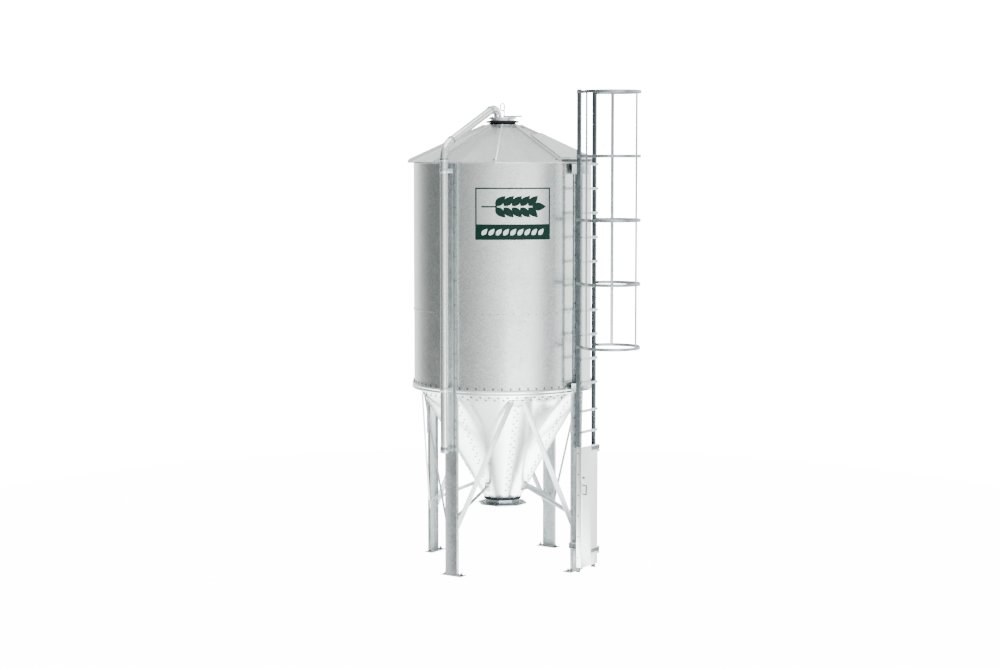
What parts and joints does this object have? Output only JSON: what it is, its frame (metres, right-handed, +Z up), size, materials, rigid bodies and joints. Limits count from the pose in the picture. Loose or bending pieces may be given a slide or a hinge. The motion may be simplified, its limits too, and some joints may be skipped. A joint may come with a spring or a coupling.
{
  "type": "grain silo",
  "caption": "Free-standing galvanised grain silo on legs, with a conical roof, bolted hopper, filling pipe and caged ladder with a hinged guard door.",
  "frame": {"origin": "on the ground, at the middle of the silo's footprint; the silo's own axis stands at x -0.3606, y 0.0596", "axes": "+Z up; +X towards the caged ladder; -Y towards the leg that carries the filling pipe"},
  "size_m": [2.9812, 2.3448, 5.63],
  "materials": {
    "galvanised_sheet": "bright galvanised sheet, soft sheen",
    "hot_dipped_steel": "hot-dip galvanised steel, satin grey"
  },
  "bodies": {
    "silo": {"brace_pair_1": "hot_dipped_steel", "brace_pair_2": "hot_dipped_steel", "brace_pair_3": "hot_dipped_steel", "brace_pair_4": "hot_dipped_steel", "cage_bar_1": "hot_dipped_steel", "cage_bar_2": "hot_dipped_steel", "cage_bar_3": "hot_dipped_steel", "cage_hoop_1": "hot_dipped_steel", "cage_hoop_2": "hot_dipped_steel", "cage_hoop_3": "hot_dipped_steel", "cage_hoop_4": "hot_dipped_steel", "cage_hoop_5": "hot_dipped_steel", "filling_pipe": "galvanised_sheet", "guard_hinge_lower": "hot_dipped_steel", "guard_hinge_upper": "hot_dipped_steel", "hopper_panel_1": "galvanised_sheet", "hopper_panel_2": "galvanised_sheet", "hopper_panel_3": "galvanised_sheet", "hopper_panel_4": "galvanised_sheet", "hopper_strut_1": "hot_dipped_steel", "hopper_strut_2": "hot_dipped_steel", "hopper_strut_3": "hot_dipped_steel", "hopper_strut_4": "hot_dipped_steel", "ladder": "hot_dipped_steel", "ladder_bracket_foot": "hot_dipped_steel", "ladder_bracket_middle": "hot_dipped_steel", "ladder_bracket_top": "hot_dipped_steel", "leg_1": "hot_dipped_steel", "leg_2": "hot_dipped_steel", "leg_3": "hot_dipped_steel", "leg_4": "hot_dipped_steel", "outlet_flange": "galvanised_sheet", "pipe_clamp_1": "hot_dipped_steel", "pipe_clamp_2": "hot_dipped_steel", "post_1": "hot_dipped_steel", "post_2": "hot_dipped_steel", "post_3": "hot_dipped_steel", "post_4": "hot_dipped_steel", "ring_beam_1": "hot_dipped_steel", "ring_beam_2": "hot_dipped_steel", "ring_beam_3": "hot_dipped_steel", "ring_beam_4": "hot_dipped_steel", "roof_collar": "galvanised_sheet", "roof_hatch": "galvanised_sheet", "roof_segment_1": "galvanised_sheet", "roof_segment_2": "galvanised_sheet", "roof_segment_3": "galvanised_sheet", "roof_segment_4": "galvanised_sheet", "roof_segment_5": "galvanised_sheet", "roof_segment_6": "galvanised_sheet", "roof_segment_7": "galvanised_sheet", "roof_segment_8": "galvanised_sheet", "roof_segment_9": "galvanised_sheet", "shell_lower_back": "galvanised_sheet", "shell_lower_front": "galvanised_sheet", "shell_upper_back": "galvanised_sheet", "shell_upper_front": "galvanised_sheet", "top_cover": "galvanised_sheet"},
    "guard_door": {"guard_door": "hot_dipped_steel"}
  },
  "joints": [
    {"name": "guard_door_hinge", "type": "hinge", "parent": "silo", "child": "guard_door", "pos_m": [0.87141, 0.25957, 0.78], "axis": [0, 0, 1], "range_deg": [0, 170]}
  ]
}
